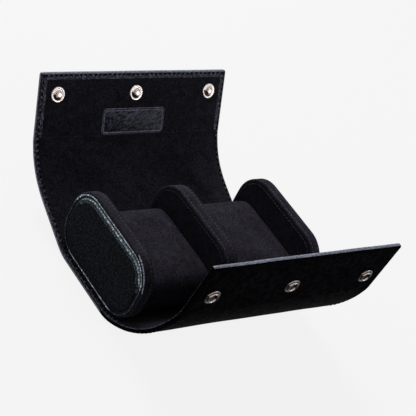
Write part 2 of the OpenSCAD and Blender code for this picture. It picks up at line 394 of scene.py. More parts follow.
def smooth_leather():
    """The leather's outside, aniline-dyed and left unwaxed: near black, its black darkened further as
    painted shade, with hardly any shine.
    """
    return calf("matt_calf_leather", chosen("leather"), 0.001, (0.5, 0.66), 3.5 * MM, 0.12 * MM)


def hem_leather():
    """Leather where it is turned and pressed: its grain stands up and takes the wax, and it is paler than
    the outside as painted light.
    """
    return pebbled("painted_light_hem_leather", chosen("hem_leather"), 0.1, (0.2, 0.5), 1.0, 2.1 * MM,
                   COOL_GLINT)


def painted_edge_highlight_leather():
    """Pale leather at the free edges, the sides and the patch's border: a painted highlight."""
    return calf("painted_edge_highlight_calf_leather", chosen("painted_edge_highlight_leather"), 0.7, (0.3, 0.55), 1.6 * MM, 0.2 * MM)


def patch_leather():
    """The patch's leather, shrunk into short slanting wrinkles that shine on top, with a painted highlight
    on their tops and painted shade in their creases.
    """
    return calf("wrinkled_calf_leather", scaled(chosen("hem_leather"), 0.55), 0.1, (0.22, 0.5),
                1.25 * MM, 0.8 * MM, (RUNS["back"].lean, math.radians(30)), (0.1, 2.8))


def pebbled(name, colour, specular, shine, relief, pebble=1.5 * MM, glint="#d2e4f2"):
    """Leather embossed with a pebble grain: round cells with dark valleys between. shine holds its least
    and most roughness, relief is how strongly the pebbles stand out, pebble their width and glint the
    tint of their highlights."""
    material, shader, place = new_material(name)
    # Pebbles are about 1 mm wide, drawn wider so that they show.
    warp = add_node(material, "ShaderNodeTexNoise",
                    {"Vector": place, "Scale": 1 / (2.5 * MM), "Detail": 3.0})
    shift = add_node(material, "ShaderNodeVectorMath", {0: warp.outputs["Color"], 1: (0.5 * MM,) * 3},
                     operation="MULTIPLY")
    moved = add_node(material, "ShaderNodeVectorMath", {0: place, 1: shift.outputs[0]}, operation="ADD")
    cells = add_node(material, "ShaderNodeTexVoronoi",
                     {"Vector": moved.outputs[0], "Scale": 1 / pebble, "Smoothness": 0.3},
                     feature="SMOOTH_F1")
    distance = cells.outputs["Distance"]
    cloud = add_node(material, "ShaderNodeTexNoise",
                     {"Vector": place, "Scale": 1 / (11 * MM), "Detail": 3.0})
    height = add_node(material, "ShaderNodeMath", {0: 1.0, 1: distance}, operation="SUBTRACT")
    bump = add_node(material, "ShaderNodeBump",
                    {"Height": height.outputs[0], "Strength": relief, "Distance": 0.35 * MM})
    # Pale tops and dark valleys: partly the grain's own tone, partly painted highlight and painted shade.
    valley = add_node(material, "ShaderNodeValToRGB", {"Fac": distance},
                      ((0.2, scaled(colour, 3.6)), (0.52, scaled(colour, 0.08))))
    patches = add_node(material, "ShaderNodeMath", {0: cloud.outputs[0], 1: 0.7}, operation="MULTIPLY")
    patchy = add_node(material, "ShaderNodeMix",
                      {"Factor": patches.outputs[0], 6: valley.outputs[0], 7: scaled(colour, 0.8)},
                      data_type="RGBA")
    gloss = add_node(material, "ShaderNodeValToRGB", {"Fac": distance},
                     ((0.1, grey(shine[0])), (0.8, grey(shine[1]))))
    set_sockets(material, shader, {
        "Base Color": patchy.outputs[2], "Normal": bump.outputs[0], "Roughness": gloss.outputs[0],
        "Specular IOR Level": specular, "Specular Tint": linear(glint)})
    return material


def grained_leather():
    """The flat of an end face: matt between the pebbles."""
    return pebbled("pebble_grain_leather", chosen("grain_leather"), 0.04, (0.45, 0.75), 0.8)


def painted_highlight_grain():
    """Pebble grain on the upward-looking rims of the end faces and on the piping's crest: paler and with
    more shine, a painted highlight.
    """
    return pebbled("painted_highlight_pebble_leather", chosen("painted_highlight_leather"), 0.9, (0.3, 0.5), 0.8)


def painted_half_highlight_grain():
    """Pebble grain between the rim's painted highlight and the matt flat: a fainter painted highlight."""
    return pebbled("painted_half_highlight_pebble_leather", chosen("painted_half_highlight_leather"), 0.1, (0.4, 0.65), 0.8)


def microsuede(name, colour):
    """Brushed microsuede: a matt nap with a faint sheen, and soft patches where it has been stroked."""
    material, shader, place = new_material(name)
    # Tufts of nap are about 0.5 mm wide, drawn at 1.2 mm so that they show.
    nap = add_node(material, "ShaderNodeTexNoise",
                   {"Vector": place, "Scale": 1 / (1.2 * MM), "Detail": 3.0, "Roughness": 0.7})
    stroked = add_node(material, "ShaderNodeTexNoise",
                       {"Vector": place, "Scale": 1 / (9 * MM), "Detail": 5.0, "Roughness": 0.65,
                        "Distortion": 0.6})
    soft = add_node(material, "ShaderNodeValToRGB", {"Fac": stroked.outputs[0]},
                    ((0.3, scaled(colour, 0.6)), (0.7, scaled(colour, 1.5))))
    speck = add_node(material, "ShaderNodeValToRGB", {"Fac": nap.outputs[0]},
                     ((0.34, grey(0.2)), (0.7, grey(2.5))))
    both = add_node(material, "ShaderNodeMix", {"Factor": 1.0, 6: soft.outputs[0], 7: speck.outputs[0]},
                    data_type="RGBA", blend_type="MULTIPLY")
    bump = add_node(material, "ShaderNodeBump",
                    {"Height": nap.outputs[0], "Strength": 0.5, "Distance": 0.25 * MM})
    set_sockets(material, shader, {
        "Base Color": both.outputs[2], "Normal": bump.outputs[0], "Roughness": 0.95,
        "Specular IOR Level": 0.04, "Sheen Weight": 0.06, "Sheen Roughness": 0.45,
        "Sheen Tint": linear("#cfc8dc")})
    return material


def plate_suede():
    """Thick suede of the plates and cushions."""
    return microsuede("brushed_microsuede", chosen("suede"))


def painted_highlight_suede():
    """Pale suede at the front corner of the left band's outer rim: a painted highlight."""
    return microsuede("painted_highlight_microsuede", chosen("painted_highlight_suede"))


def painted_shade_lining_suede():
    """Thin suede of the lining, glued down, and darker than the plates' suede as painted shade."""
    return microsuede("painted_shade_thin_microsuede", chosen("lining"))


def sewing_thread(name, colour, specular):
    """Bonded polyester thread: twisted plies about 0.3 mm wide, with a dull sheen."""
    material, shader, place = new_material(name)
    plies = add_node(material, "ShaderNodeTexWave",
                     {"Vector": place, "Scale": 1 / (4 * MM), "Distortion": 1.0},
                     bands_direction="DIAGONAL")
    bump = add_node(material, "ShaderNodeBump",
                    {"Height": plies.outputs["Fac"], "Strength": 0.5, "Distance": 0.1 * MM})
    shade = add_node(material, "ShaderNodeValToRGB", {"Fac": plies.outputs["Fac"]},
                     ((0.0, scaled(colour, 0.7)), (1.0, scaled(colour, 1.5))))
    set_sockets(material, shader, {
        "Base Color": shade.outputs[0], "Normal": bump.outputs[0], "Roughness": 0.7,
        "Specular IOR Level": specular})
    return material


def leather_thread():
    """The hems' thread, waxed black so that it sinks into the leather."""
    return sewing_thread("black_polyester_thread", chosen("thread"), 0.004)


def suede_thread():
    """The plates' thread, paler than the suede and than the hems' thread as painted sheen."""
    return sewing_thread("painted_sheen_polyester_thread", chosen("suede_thread"), 0.06)


def nickel(name, colour, shine):
    """Nickel plate on stamped brass, with faint polishing marks. shine holds its least and most
    roughness."""
    material, shader, place = new_material(name)
    marks = add_node(material, "ShaderNodeTexNoise",
                     {"Vector": place, "Scale": 1 / (0.7 * MM), "Detail": 4.0})
    bump = add_node(material, "ShaderNodeBump",
                    {"Height": marks.outputs[0], "Strength": 0.06, "Distance": 0.05 * MM})
    shade = add_node(material, "ShaderNodeValToRGB", {"Fac": marks.outputs[0]},
                     ((0.3, scaled(colour, 0.88)), (0.7, colour)))
    gloss = add_node(material, "ShaderNodeValToRGB", {"Fac": marks.outputs[0]},
                     ((0.3, grey(shine[0])), (0.7, grey(shine[1]))))
    set_sockets(material, shader, {
        "Base Color": shade.outputs[0], "Normal": bump.outputs[0], "Roughness": gloss.outputs[0],
        "Metallic": 1.0})
    return material


def nickel_plate():
    """Polished nickel: warm and bright."""
    return nickel("polished_nickel_plate", chosen("nickel"), (0.22, 0.34))


def painted_shade_nickel():
    """Nickel darkened as painted shade: the sockets' bodies and one side of the foot of the studs' knobs.
    """
    return nickel("painted_shade_nickel_plate", chosen("painted_shade_nickel"), (0.3, 0.45))


def pulp_board(name, hex_colour, fibre):
    """Pressed board: flecks of fibre in a dull matt ground."""
    material, shader, place = new_material(name)
    colour = linear(hex_colour)
    flecks = add_node(material, "ShaderNodeTexNoise",
                      {"Vector": place, "Scale": 1 / fibre, "Detail": 6.0, "Roughness": 0.7})
    bump = add_node(material, "ShaderNodeBump",
                    {"Height": flecks.outputs[0], "Strength": 0.3, "Distance": 0.1 * MM})
    shade = add_node(material, "ShaderNodeValToRGB", {"Fac": flecks.outputs[0]},
                     ((0.35, scaled(colour, 0.7)), (0.65, scaled(colour, 1.2))))
    set_sockets(material, shader, {
        "Base Color": shade.outputs[0], "Normal": bump.outputs[0], "Roughness": 0.9})
    return material


def foam_block():
    """Open-cell polyurethane foam: pale, with cells about 0.6 mm wide."""
    material, shader, place = new_material("polyurethane_foam")
    colour = linear("#c9c2a8")
    cells = add_node(material, "ShaderNodeTexVoronoi", {"Vector": place, "Scale": 1 / (0.6 * MM)})
    bump = add_node(material, "ShaderNodeBump",
                    {"Height": cells.outputs["Distance"], "Strength": 0.6, "Distance": 0.3 * MM})
    shade = add_node(material, "ShaderNodeValToRGB", {"Fac": cells.outputs["Distance"]},
                     ((0.0, scaled(colour, 0.7)), (0.6, colour)))
    set_sockets(material, shader, {
        "Base Color": shade.outputs[0], "Normal": bump.outputs[0], "Roughness": 1.0})
    return material


MAKERS = {
    "leather": smooth_leather,
    "hem": hem_leather,
    "painted_edge_highlight": painted_edge_highlight_leather,
    "grain": grained_leather,
    "painted_light": painted_highlight_grain,
    "painted_half_highlight": painted_half_highlight_grain,
    "patch": patch_leather,
    "suede": plate_suede,
    "painted_highlight_suede": painted_highlight_suede,
    "lining": painted_shade_lining_suede,
    "thread": leather_thread,
    "suede_thread": suede_thread,
    "nickel": nickel_plate,
    "painted_shade_nickel": painted_shade_nickel,
    "fibreboard": lambda: pulp_board("pressed_fibreboard", "#8a7a62", 1.2 * MM),
    "greyboard": lambda: pulp_board("grey_bookboard", "#76716a", 0.8 * MM),
    "foam": foam_block,
}
made_finishes = {}


def finish_of(name):
    """A material by its short name, made once."""
    if name not in made_finishes:
        made_finishes[name] = MAKERS[name]()
    return made_finishes[name]


def dress(piece, finish):
    """Gives a piece its one material."""
    piece.data.materials.clear()
    piece.data.materials.append(finish_of(finish))
    return piece


def finish_part(piece, finish, test):
    """Gives the faces that pass the test, by centre and normal, another material."""
    piece.data.materials.append(finish_of(finish))
    open_edit(piece, "FACE", test)
    piece.active_material_index = len(piece.data.materials) - 1
    bpy.ops.object.material_slot_assign()
    close_edit()


# ---- the wrap's path: flat run, creases and cuts ----

class Run:
    """One side of the wrap, from the middle of the base out to the free edge.

    creases holds the flat distance and turn of each crease, cuts the flat distances where a piece ends,
    marks the points of the chain of hinges at those cuts, panel the flat distance where the stiff panel
    starts and end that of the free edge. length is the panel's own, from its hinge, lean its slope and
    corner the place of its hinge."""

    # Creases in each bend, and the flat left on each side of the cut between two bends.
    STEPS = 6
    FLAT_PART = 0.6 * MM
    # The bend into the stiff panel is tighter, and its cut lies beyond it, on the panel.
    LAST_BEND = 3 * MM
    LAST_CUT = 4.2 * MM
    # The first hinge stands in the middle of the gap beside the CAD's base.
    HALF_GAP = 0.3 * MM

    def __init__(self, side, lean, cover):
        names = [f"{side}_bend_hinge_{i}" for i in range(2, 8)] + [f"{side}_panel_hinge", f"{side}_fold"]
        ordered = sorted((HINGES[n]["pos_m"] for n in names if n in HINGES), key=lambda p: p[2])
        corners = [Vector((span("base_cover", 1)[1] + self.HALF_GAP, MIDDLE))]
        corners += [Vector((abs(p[1]), p[2])) for p in ordered]
        strip = (corners[2] - corners[1]).length
        headings = [math.atan2(b.y - a.y, b.x - a.x) for a, b in zip(corners, corners[1:])]
        headings = [0.0] + headings + [lean]
        self.side, self.sign, self.lean, self.corner = side, SIDES[side], lean, corners[-1]
        high = span(cover, 2)[1]
        self.length = (high - corners[-1].y - MIDDLE * math.cos(lean)) / math.sin(lean)
        self.creases, self.cuts, self.marks = [], [], []
        flat = corners[0].x
        before = 0.0
        for i, corner in enumerate(corners):
            last = i == len(corners) - 1
            angle = headings[i + 1] - headings[i]
            tangent = self.LAST_BEND if last else strip / 2 - self.FLAT_PART
            if i:
                flat += strip - before
            flat -= tangent
            radius = tangent / math.tan(angle / 2)
            chord = 2 * radius * math.sin(angle / 2 / self.STEPS)
            for k in range(self.STEPS + 1):
                share = 0.5 if k in (0, self.STEPS) else 1.0
                self.creases.append((flat + k * chord, angle / self.STEPS * share))
            flat += chord * self.STEPS
            reach = self.LAST_CUT if last else strip / 2
            ahead = Vector((math.cos(headings[i + 1]), math.sin(headings[i + 1])))
            self.cuts.append(flat + reach - tangent)
            self.marks.append(corner + ahead * reach)
            before = tangent
        self.panel = flat
        self.end = flat + self.length - before

    def point(self, mark):
        """A mark as a point in the frame."""
        return (0, self.sign * mark.x, mark.y)


RUNS = {
    "back": Run("back", math.radians(62.5), "back_cover"),
    "front": Run("front", math.radians(84.5), "front_cover"),
}


def remember_flat(piece):
    """Keeps each vertex's place along the flat wrap in an attribute, so that cuts can find it later."""
    mesh = piece.data
    flat = mesh.attributes.get("flat_run") or mesh.attributes.new("flat_run", "FLOAT", "POINT")
    flat.data.foreach_set("value", [v.co.y for v in mesh.vertices])


def flat_places(piece):
    return [item.value for item in piece.data.attributes["flat_run"].data]


def fold(piece):
    """Bends a flat piece at each crease, from the free edges back to the base."""
    places = flat_places(piece)
    mesh = piece.data
    only(piece)
    bpy.context.tool_settings.mesh_select_mode = SELECT_MODES["VERT"]
    for run in RUNS.values():
        for flat, angle in reversed(run.creases):
            for group in (mesh.edges, mesh.polygons):
                group.foreach_set("select", [False] * len(group))
            mesh.vertices.foreach_set("select", [run.sign * p > flat - TINY for p in places])
            bpy.ops.object.mode_set(mode="EDIT")
            turn(run.sign * angle, (0, run.sign * flat, MIDDLE))
            bpy.ops.object.mode_set(mode="OBJECT")


def take(piece, low, high, name):
    """A copy of the stretch of a folded piece between two flat places, with its cut ends closed."""
    copy = piece.copy()
    copy.data = piece.data.copy()
    bpy.context.scene.collection.objects.link(copy)
    places = flat_places(copy)
    middles = [sum(places[v] for v in f.vertices) / len(f.vertices) for f in copy.data.polygons]
    only(copy)
    bpy.context.tool_settings.mesh_select_mode = SELECT_MODES["FACE"]
    for group in (copy.data.vertices, copy.data.edges):
        group.foreach_set("select", [False] * len(group))
    copy.data.polygons.foreach_set("select", [not low < middle < high for middle in middles])
    bpy.ops.object.mode_set(mode="EDIT")
    bpy.ops.mesh.delete(type="FACE")
    bpy.context.tool_settings.mesh_select_mode = SELECT_MODES["EDGE"]
    bpy.ops.mesh.select_all(action="SELECT")
    bpy.ops.mesh.region_to_loop()
    bpy.ops.mesh.fill_holes(sides=0)
    close_edit()
    copy.name = name
    smooth(copy)
    return copy


def share_out(piece, layer, stands_for):
    """Cuts a folded layer into the base, the bends and the panels, the base and the panels each on its own
    body.
    """
    back, front = RUNS["back"], RUNS["front"]
    base = take(piece, -front.cuts[0], back.cuts[0], f"base_{layer}")
    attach(base, "base")
    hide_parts(*stands_for("base"))
    for run in RUNS.values():
        bodies = ["base"] + [f"{run.side}_bend_{i}" for i in range(2, 8)] + [f"{run.side}_panel"]
        for i in range(len(run.cuts) - 1):
            low, high = sorted(run.sign * c for c in run.cuts[i:i + 2])
            bend = take(piece, low, high, f"{run.side}_bend_{layer}_{i + 1}")
            run.point(run.marks[i])
            run.point(run.marks[i + 1])
            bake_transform(bend)
            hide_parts(*stands_for(bodies[i + 1]))
        low, high = sorted(run.sign * c for c in (run.cuts[-1], run.end + 1))
        panel = take(piece, low, high, f"{run.side}_panel_{layer}")
        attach(panel, f"{run.side}_panel")
        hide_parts(*stands_for(f"{run.side}_panel"))
    bpy.data.objects.remove(piece)


def hem_at(flat):
    """Width of the turned hem at a place along the flat wrap."""
    sizes = bpy.context.scene.wrap_sizes
    stiff = flat > RUNS["back"].panel or -flat > RUNS["front"].panel
    return sizes.panel_hem if stiff else sizes.bend_hem


def ripple(piece):
    """Lets the flaps stray a little from a true sheet. The base, which lies flat, stays as it is."""
    sizes = bpy.context.scene.wrap_sizes
    # The ripple grows from nothing to its full size over this distance.
    away = 45 * MM
    group = piece.vertex_groups.new(name="loose")
    near = min(RUNS["back"].creases[0][0], RUNS["front"].creases[0][0])
    for v in piece.data.vertices:
        reach = min(max((abs(v.co.y) - near) / away, 0), 1)
        group.add([v.index], reach * reach * (3 - 2 * reach), "REPLACE")
    clouds = bpy.data.textures.get("soft_leather") or bpy.data.textures.new("soft_leather", "CLOUDS")
    clouds.noise_scale = 55 * MM
    clouds.noise_depth = 1
    only(piece)
    stray = piece.modifiers.new("stray", "DISPLACE")
    stray.texture, stray.texture_coords, stray.direction = clouds, "GLOBAL", "Z"
    stray.strength, stray.mid_level, stray.vertex_group = sizes.ripple * 2, 0.5, "loose"
    bpy.ops.object.modifier_apply(modifier="stray")
    piece.vertex_groups.clear()


def rows_across():
    """Every place along the flat wrap where a crease, a cut or a panel starts."""
    rows = []
    for run in RUNS.values():
        rows += [run.sign * flat for flat, turned_by in run.creases]
        rows += [run.sign * flat for flat in run.cuts + [run.panel]]
    return rows


def rows_along(half):
    """Places along X where the layers are cut, so that they can ripple."""
    count = 14
    return [half * (2 * i / count - 1) for i in range(1, count)]


def stitch_model(length, width, height):
    """One stitch: a plump bead of thread along Y."""
    bpy.ops.object.select_all(action="DESELECT")
    bpy.ops.mesh.primitive_uv_sphere_add(segments=8, ring_count=5, radius=0.5)
    bead = bpy.context.object
    bead.scale = (width, length, height)
    bpy.ops.object.transform_apply(location=False, rotation=False, scale=True)
    return bead


class CASE_OT_wrap_leather(bpy.types.Operator):
    """Cuts the leather flat, turns its hems, sews them and folds it round the case"""
    bl_idname = "travel_case.wrap_leather"
    bl_label = "Leather of the wrap"

    CORNER = 2 * MM
    # The ground between the hems is sunk, over a narrow slope.
    SUNK = 0.7 * MM
    SLOPE = 0.2 * MM
    # A stitch fills this share of the pitch. The rest of the thread is under the leather.
    STITCH_SHARE = 0.7
    STITCH_WIDTH = 1.4 * MM
    STITCH_HEIGHT = 0.6 * MM
    SEAM_FROM_EDGE = 2.3 * MM

    def execute(self, context):
        sizes = context.scene.wrap_sizes
        leather = self.cut_out(sizes)
        leather.data.materials.append(finish_of("leather"))
        self.turn_hems(leather, sizes)
        self.tone_and_painted_light(leather, sizes)
        thread = self.sew(sizes)
        thread.data.materials.append(finish_of("thread"))
        for layer in (leather, thread):
            ripple(layer)
            remember_flat(layer)
        whole = join(leather, thread)
        whole.name = "wrap_leather"
        fold(whole)
        share_out(whole, "leather", self.stands_for)
        return {"FINISHED"}

    def cut_out(self, sizes):
        """The flat sheet, with round corners and a round edge."""
        back, front = RUNS["back"], RUNS["front"]
        sheet = block("wrap_leather", (WRAP_LOW_X, -front.end, 0), (WRAP_HIGH_X, back.end, WRAP_T))
        round_edges(sheet, along(2), self.CORNER, 4)
        round_edges(sheet, lambda a, b: abs(a.z - b.z) < TINY, sizes.edge_round, 3)
        return sheet

    def turn_hems(self, sheet, sizes):
        """Cuts the lines of the hems and sinks the ground between them, where the lining lies."""
        back, front = RUNS["back"], RUNS["front"]
        sides = [sign * (WRAP_HIGH_X - hem) for sign in (-1, 1)
                 for hem in (sizes.panel_hem, sizes.bend_hem)]
        cut_across(sheet, sides + rows_along(WRAP_HIGH_X - sizes.panel_hem), 0)
        ends = [back.end - sizes.panel_hem, -front.end + sizes.panel_hem]
        cut_across(sheet, ends + rows_across(), 1)

        def inside(centre, normal):
            clear = abs(centre.x) < WRAP_HIGH_X - hem_at(centre.y)
            return normal.z > 0.9 and centre.z > MIDDLE and clear and ends[1] < centre.y < ends[0]
        draw_in(sheet, inside, [(self.SLOPE, -self.SUNK)])

    def tone_and_painted_light(self, leather, sizes):
        """Gives the hems, and the upper half of the back half's sides, their waxed grain, paler as painted
        light, and paints highlights on the free edges and on the sides of base and back.
        """
        back, front = RUNS["back"], RUNS["front"]
        hem_face, half_edge, underside = WRAP_T - 0.6 * MM, MIDDLE - 0.1 * MM, 0.6 * MM
        near_edge = sizes.edge_round * 0.75
        # The painted highlight on the sides stops short of the front flap.
        highlight_from = -20 * MM
        # Painted light: the hems get the paler hem leather.
        finish_part(leather, "hem", lambda c, n: c.z > hem_face or c.z > half_edge and c.y > 0)
        # Painted highlight along the free edges and the sides of base and back.
        finish_part(leather, "painted_edge_highlight", lambda c, n: abs(n.x) > 0.98 and c.y > highlight_from or c.z > underside
                    and (c.y > back.end - near_edge or -c.y > front.end - near_edge))

    def sew(self, sizes):
        """A row of stitches along each hem, on both faces, and none under the base."""
        back, front = RUNS["back"], RUNS["front"]
        pitch = sizes.stitch_pitch
        bead = stitch_model(pitch * self.STITCH_SHARE, self.STITCH_WIDTH, self.STITCH_HEIGHT)
        half = WRAP_HIGH_X - self.SEAM_FROM_EDGE
        first, last = -front.end + self.SEAM_FROM_EDGE, back.end - self.SEAM_FROM_EDGE
        base = min(back.creases[0][0], front.creases[0][0])
        across = int(half / pitch)
        quarter = Matrix.Rotation(math.pi / 2, 4, "Z")
        places = []
        for z in (0.0, WRAP_T):
            for i in range(int((last - first) / pitch) + 1):
                y = first + i * pitch
                if z or abs(y) > base:
                    places += [Matrix.Translation((x, y, z)) for x in (-half, half)]
            for y in (first, last):
                places += [Matrix.Translation((i * pitch, y, z)) @ quarter
                           for i in range(-across, across + 1)]
        return copies(bead, places, "wrap_thread")

    def stands_for(self, body):
        if body == "base":
            return ["base_cover", "front_bend_1", "back_bend_1"]
        return [body.replace("panel", "cover")]


class CASE_OT_wrap_lining(bpy.types.Operator):
    """Lays the microsuede lining between the hems and folds it with the leather"""
    bl_idname = "travel_case.wrap_lining"
    bl_label = "Lining of the wrap"

    THICK = 0.9 * MM
    GAP = 0.1 * MM
    LAP = 1 * MM
    # The cloth along the bends lies a little under the hem's face, the panels' a little over it.
    BEND_BELOW = 0.12 * MM
    PANEL_BELOW = -0.1 * MM

    def execute(self, context):
        sizes = context.scene.wrap_sizes
        back, front = RUNS["back"], RUNS["front"]
        at_hem = sizes.panel_hem + self.GAP
        middle = self.cloth("lining_middle", sizes.bend_hem, -front.panel, back.panel, self.BEND_BELOW)
        rear = self.cloth("lining_back", sizes.panel_hem, back.panel - self.LAP, back.end - at_hem,
                          self.PANEL_BELOW)
        fore = self.cloth("lining_front", sizes.panel_hem, -front.end + at_hem, -front.panel + self.LAP,
                          self.PANEL_BELOW)
        # The lap where the back panel's cloth starts is dressed in the paler plate suede, a painted
        # highlight that shows as a faint seam.
        finish_part(rear, "suede", lambda c, n: c.y < back.panel)
        lining = join(middle, rear, fore)
        lining.name = "wrap_lining"
        ripple(lining)
        remember_flat(lining)
        fold(lining)
        share_out(lining, "lining", self.stands_for)
        return {"FINISHED"}

    def cloth(self, name, hem, low, high, below):
        """A flat piece of lining with soft edges. below is how far it lies under the hem's face."""
        half = WRAP_HIGH_X - hem - self.GAP
        top = WRAP_T - below
        piece = block(name, (-half, low, top - self.THICK), (half, high, top))
        piece.data.materials.append(finish_of("lining"))
        round_edges(piece, lambda a, b: min(a.z, b.z) > top - TINY, self.THICK / 2, 3)
        cut_across(piece, rows_along(WRAP_HIGH_X - bpy.context.scene.wrap_sizes.panel_hem), 0)
        cut_across(piece, [row for row in rows_across() if low + TINY < row < high - TINY], 1)
        return piece

    def stands_for(self, body):
        if body == "base":
            return ["base_lining"]
        return [body.replace("panel", "lining")] if "panel" in body else []


# ---- plates ----

def plate_slab(name, low_x, high_x, inset, corner):
    """A slab with the plates' round outline, drawn in on all sides by inset."""
    slab = block(name, (low_x, PLATE_LOW_Y + inset, PLATE_LOW_Z + inset),
                 (high_x, PLATE_HIGH_Y - inset, PLATE_HIGH_Z - inset))
    round_edges(slab, along(0), corner - inset, 20)
    return slab


def rim(slab, x, offset):
    """Rounds the edge of a slab at one of its two faces."""
    round_edges(slab, lambda a, b: abs(a.x - x) < TINY and abs(b.x - x) < TINY, offset, 4)


def face_seam(slab, x, inset):
    """Sinks a sewn groove into a slab's face, at a distance in from its edge."""
    half, depth = 0.5 * MM, 0.45 * MM
    draw_in(slab, lambda c, n: abs(c.x - x) < TINY and abs(n.x) > 0.99,
            [(inset - half, 0), (half, -depth), (half, depth)])


def rim_seam(slab, x):
    """Pulls a sewn groove into a slab's rim, at a place along X."""
    half, depth = 0.55 * MM, 0.4 * MM
    cut_across(slab, [x - half, x, x + half], 0)
    open_edit(slab, "VERT", lambda v: abs(v.x - x) < TINY)
    bpy.ops.transform.shrink_fatten(value=-depth)
    close_edit()


def outline_places(inset, corner, pitch):
    """Evenly spaced (y, z, heading) round a plate's outline, drawn in by inset."""
    radius = corner - inset
    half_y = (PLATE_HIGH_Y - PLATE_LOW_Y) / 2 - inset - radius
    half_z = (PLATE_HIGH_Z - PLATE_LOW_Z) / 2 - inset - radius
    middle = Vector(((PLATE_HIGH_Y + PLATE_LOW_Y) / 2, (PLATE_HIGH_Z + PLATE_LOW_Z) / 2))
    quarter = radius * math.pi / 2
    total = 4 * (half_y + half_z + quarter)
    count = round(total / pitch)
    places = []
    for i in range(count):
        run = total * i / count
        # Each quarter of the outline is a straight run and then a round corner.
        for q in range(4):
            straight = 2 * (half_z if q % 2 == 0 else half_y)
            heading = math.pi / 2 * (q + 1)
            out = Vector((math.sin(heading), -math.cos(heading)))
            ahead = Vector((math.cos(heading), math.sin(heading)))
            start = middle + Vector(((out.x - ahead.x) * half_y, (out.y - ahead.y) * half_z))
            if run <= straight:
                place = start + ahead * run + out * radius
                places.append((place.x, place.y, heading))
                break
            run -= straight
            if run <= quarter:
                angle = run / radius
                place = (start + ahead * straight + out * radius * math.cos(angle)
                         + ahead * radius * math.sin(angle))
                places.append((place.x, place.y, heading + angle))
                break
            run -= quarter
    return places


def plate_thread(rows, sizes, share):
    """Stitches round a plate. rows holds each seam's place along X and inset from the outline, and share
    is how much of the pitch a stitch fills."""
    bead = stitch_model(sizes.stitch_pitch * share, 0.55 * MM, 0.5 * MM)
    places = []
    for x, inset in rows:
        for y, z, heading in outline_places(inset, sizes.corner, sizes.stitch_pitch):
            places.append(Matrix.Translation((x, y, z)) @ Matrix.Rotation(heading, 4, "X"))
    thread = copies(bead, places, "thread")
    thread.data.materials.append(finish_of("suede_thread"))
    return thread


def suede_slab(name, node, sewn, rounding, sizes):
    """A node's slab in suede with round rims, and the rows of its seams. sewn holds the places along X of
    the faces that have a seam beside their rim, one on the face and one on the band."""
    low, high = span(node, 0)
    slab = plate_slab(name, low, high, 0, sizes.corner)
    for x in (low, high):
        rim(slab, x, rounding)
    rows = []
    for x in sewn:
        on_band = x + sizes.seam_inset if x == low else x - sizes.seam_inset
        face_seam(slab, x, sizes.seam_inset)
        rim_seam(slab, on_band)
        rows += [(on_band, 0.25 * MM), (x, sizes.seam_inset + rounding)]
    smooth(slab)
    slab.data.materials.append(finish_of("suede"))
    return slab, rows


def sew_on(slab, rows, share, sizes, node):
    """Sews a suede slab and puts it in its node's stead."""
    slab = join(slab, plate_thread(rows, sizes, share))
    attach(slab, "base")
    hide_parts(node)


class CASE_OT_end_plates(bpy.types.Operator):
    """Builds both end plates: a suede band and inner face, and a padded leather face outside"""
    bl_idname = "travel_case.end_plates"
    bl_label = "End plates"

    ROUNDING = 1.3 * MM
    STITCH_SHARE = 0.88
    # The padding is steep at the piping and rounds off towards the flat: (slope, share of the rise).
    PADDING = ((80, 0.08), (70, 0.17), (62, 0.2), (54, 0.18), (44, 0.13), (33, 0.09), (22, 0.05),
               (12, 0.03))
    # Then it crowns gently: (millimetres across, share of the rise).
    CROWN = ((2.2, 0.03), (3, 0.012), (5, 0.008))
    # Where the rim ends and the flat begins, and how far up a face must look to get the painted highlight
    # or the fainter one.
    FLAT = 0.93
    RUBBED_UP, HANDLED_UP, FLAT_UP = 0.28, 0.02, 0.011

    def execute(self, context):
        sizes = context.scene.plate_sizes
        for side, sign in (("left", -1), ("right", 1)):
            self.band(side, sign, sizes)
            self.face(side, sign, sizes)
            self.piping(side, sign)
        return {"FINISHED"}

    def band(self, side, sign, sizes):
        node = f"{side}_end_suede"
        low, high = span(node, 0)
        inner, outer = (high, low) if sign < 0 else (low, high)
        slab, rows = suede_slab(f"{node}_band", node, [inner], self.ROUNDING, sizes)
        if side == "left":
            # Painted highlight on the front corner of this outer rim, on the left plate only.
            finish_part(slab, "painted_highlight_suede", lambda c, n: c.x < outer + self.ROUNDING
                        and -0.95 < n.x < -0.2 and n.y < -0.15 and n.z > 0.12)
        sew_on(slab, rows, self.STITCH_SHARE, sizes, node)

    def face(self, side, sign, sizes):
        node = f"{side}_end_leather"
        low, high = span(node, 0)
        outer, back = (low, high) if sign < 0 else (high, low)
        rise = (high - low) * 0.9
        start = outer - sign * rise
        slab = plate_slab(f"{node}_face", min(start, back), max(start, back), sizes.face_inset,
                          sizes.corner)
        rings = [(rise * share / math.tan(math.radians(slope)), rise * share)
                 for slope, share in self.PADDING]
        rings += [(across * MM, rise * share) for across, share in self.CROWN]
        draw_in(slab, lambda c, n: n.x * sign > 0.99, rings)
        smooth(slab, math.radians(60))
        dress(slab, "grain")
        # Painted highlight on the rim's faces that look up, with a fainter painted highlight round it.
        finish_part(slab, "painted_light", lambda c, n: abs(n.x) < self.FLAT and n.z > self.RUBBED_UP)
        finish_part(slab, "painted_half_highlight", lambda c, n: n.z > self.FLAT_UP if abs(n.x) >= self.FLAT
                    else self.RUBBED_UP >= n.z > self.HANDLED_UP)
        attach(slab, "base")
        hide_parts(node)

    def piping(self, side, sign):
        """Dresses the CAD's piping. Its crest gets the painted highlight along the straight runs and at the
        top, and the fainter painted highlight elsewhere."""
        piping = dress(frame["nodes"][f"{side}_end_piping"], "grain")
        for finish in ("painted_light", "painted_half_highlight"):
            piping.data.materials.append(finish_of(finish))
        for f in piping.data.polygons:
            crest = f.normal.x * sign > 0.82
            painted_light = abs(f.center.y) < 30 * MM or f.center.z > PLATE_HIGH_Z - 18 * MM
            f.material_index = crest * (1 if painted_light else 2)


